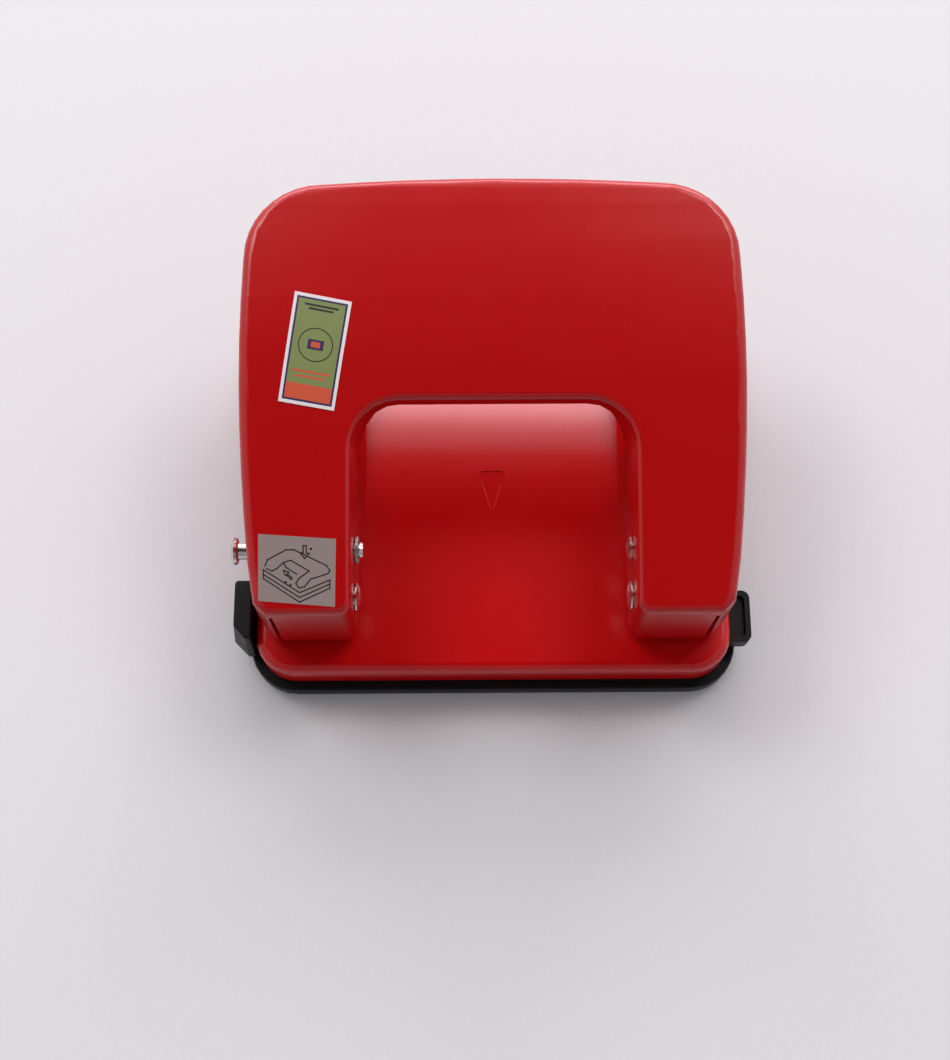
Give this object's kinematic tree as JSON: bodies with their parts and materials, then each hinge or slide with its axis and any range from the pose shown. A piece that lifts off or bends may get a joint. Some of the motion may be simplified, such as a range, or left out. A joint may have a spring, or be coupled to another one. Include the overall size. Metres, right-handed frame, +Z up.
{
  "type": "two-hole paper punch",
  "caption": "Desk punch with a pressed steel lever on two punching heads, a side lock pin, a sliding paper guide and a hinged chip tray.",
  "frame": {"origin": "centre of the chip tray's flat underside, on the table", "axes": "+Z up, +X to the right, +Y to the back; the paper goes in from the front, -Y"},
  "size_m": [0.1169, 0.1008, 0.057],
  "materials": {
    "red_paint": "satin powder coat",
    "black_plastic": "fine moulded grain",
    "bright_steel": "nickel plated",
    "zinc_steel": "zinc plated",
    "tool_steel": "ground and hardened"
  },
  "bodies": {
    "base": {"base_plate": "red_paint", "punch_frame_left": "zinc_steel", "punch_frame_right": "zinc_steel", "frame_rivet_left_front": "bright_steel", "frame_rivet_left_rear": "bright_steel", "frame_rivet_right_front": "bright_steel", "frame_rivet_right_rear": "bright_steel", "guide_bushing_left": "zinc_steel", "guide_bushing_right": "zinc_steel", "die_left": "tool_steel", "die_right": "tool_steel", "return_spring_left": "bright_steel", "return_spring_right": "bright_steel", "guide_strap_left": "zinc_steel", "guide_strap_right": "zinc_steel"},
    "lever": {"lever": "red_paint", "pivot_rivet_left": "bright_steel", "pivot_rivet_right": "bright_steel", "drive_rivet_right": "bright_steel"},
    "lock_pin": {"lock_pin": "bright_steel", "lock_pin_clip": "zinc_steel"},
    "punch_left": {"punch_left": "tool_steel", "punch_clip_left": "zinc_steel"},
    "punch_right": {"punch_right": "tool_steel", "punch_clip_right": "zinc_steel"},
    "paper_guide": {"paper_guide": "black_plastic"},
    "chip_tray": {"chip_tray": "black_plastic"}
  },
  "joints": [
    {"name": "lever_press", "type": "hinge", "parent": "base", "child": "lever", "pos_m": [0, -0.0329, 0.029], "axis": [-1, 0, 0], "range_deg": [0, 24], "stiffness_Nm_per_rad": 0.3, "springref_deg": -22.92},
    {"name": "lock_push", "type": "slide", "parent": "lever", "child": "lock_pin", "axis": [1, 0, 0], "range_m": [0, 0.0024]},
    {"name": "punch_left_stroke", "type": "slide", "parent": "base", "child": "punch_left", "axis": [0, 0, -1], "range_m": [0, 0.00416], "deforming": ["return_spring_left"]},
    {"name": "punch_right_stroke", "type": "slide", "parent": "base", "child": "punch_right", "axis": [0, 0, -1], "range_m": [0, 0.00416], "deforming": ["return_spring_right"]},
    {"name": "guide_slide", "type": "slide", "parent": "base", "child": "paper_guide", "axis": [-1, 0, 0], "range_m": [0, 0.0949]},
    {"name": "tray_swing", "type": "hinge", "parent": "base", "child": "chip_tray", "pos_m": [0, 0.0473, 0.0045], "axis": [1, 0, 0], "range_deg": [0, 75]}
  ],
  "couplings": [
    {"joint": "punch_left_stroke", "follows": "lever_press", "m_per_rad": 0.009927},
    {"joint": "punch_right_stroke", "follows": "lever_press", "m_per_rad": 0.009927}
  ]
}
